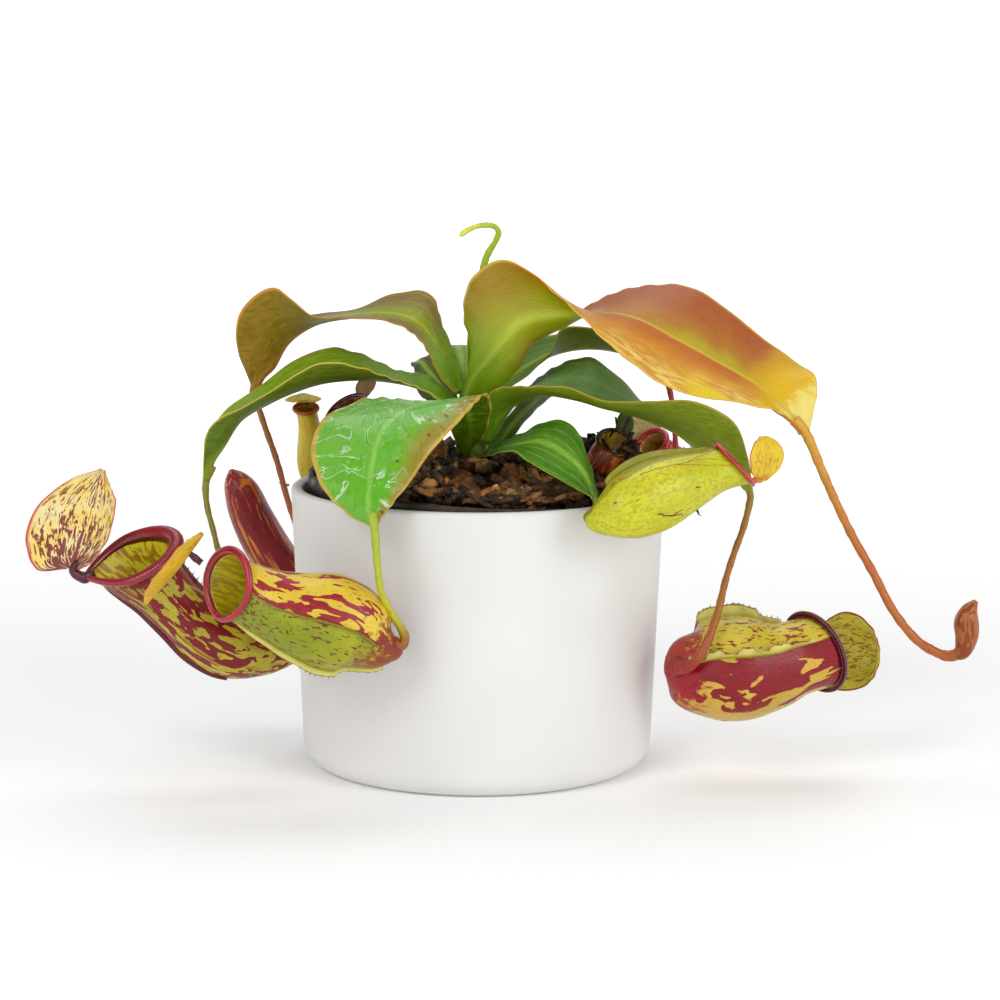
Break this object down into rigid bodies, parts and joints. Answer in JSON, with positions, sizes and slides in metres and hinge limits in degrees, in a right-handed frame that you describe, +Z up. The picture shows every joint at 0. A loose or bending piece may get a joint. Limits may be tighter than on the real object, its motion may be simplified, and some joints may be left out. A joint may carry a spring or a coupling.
{
  "type": "potted pitcher plant",
  "caption": "Carnivorous pitcher plant with arched leaves and hanging red and green traps, in a plain white ceramic cover pot.",
  "frame": {"origin": "centre of the cover pot's flat underside", "axes": "+X to the right as the plant is seen from the front, +Y to the back, +Z up"},
  "size_m": [0.3242, 0.1791, 0.1888],
  "materials": {
    "white_ceramic": "matte",
    "black_plastic": "matte",
    "peat_mix": "matte",
    "bark": "matte",
    "dead_leaf": "matte",
    "leaf_green": "satin",
    "leaf_bronze": "satin",
    "tendril": "satin",
    "trap_red": "satin",
    "trap_green": "satin",
    "mouth_rim": "gloss",
    "lid_skin": "satin"
  },
  "bodies": {
    "root": {"bark_scrap_front": "bark", "cover_pot": "white_ceramic", "leaf_back": "leaf_green", "leaf_back_left": "leaf_green", "leaf_back_right": "leaf_green", "leaf_front": "leaf_green", "leaf_low_right": "leaf_green", "leaf_mid_left": "leaf_green", "leaf_mid_right": "leaf_green", "leaf_new": "leaf_green", "leaf_scrap_left": "dead_leaf", "leaf_small_front": "leaf_green", "leaf_upper_left": "leaf_bronze", "leaf_upper_right": "leaf_bronze", "lid_back_left": "lid_skin", "lid_back_right": "lid_skin", "lid_far_left": "lid_skin", "lid_front_left": "lid_skin", "lid_old": "leaf_green", "lid_over_rim": "lid_skin", "lid_right": "lid_skin", "lid_soil_left": "lid_skin", "mouth_rim_back_left": "mouth_rim", "mouth_rim_back_right": "mouth_rim", "mouth_rim_far_left": "mouth_rim", "mouth_rim_front_left": "mouth_rim", "mouth_rim_old": "mouth_rim", "mouth_rim_over_rim": "mouth_rim", "mouth_rim_right": "mouth_rim", "mouth_rim_soil_left": "mouth_rim", "nursery_pot": "black_plastic", "pitcher_back_left": "trap_green", "pitcher_back_right": "trap_red", "pitcher_bud_right": "trap_green", "pitcher_closed_left": "trap_red", "pitcher_far_left": "trap_red", "pitcher_front_left": "trap_red", "pitcher_old": "trap_red", "pitcher_over_rim": "trap_green", "pitcher_right": "trap_red", "pitcher_soil_left": "trap_red", "soil": "peat_mix", "stem": "leaf_green", "tendril_back": "tendril", "tendril_back_right": "tendril", "tendril_front": "tendril", "tendril_mid_left": "tendril", "tendril_mid_right": "tendril", "tendril_new": "tendril", "tendril_small_front": "tendril", "tendril_upper_left": "tendril", "tendril_upper_right": "tendril"}
  },
  "joints": []
}
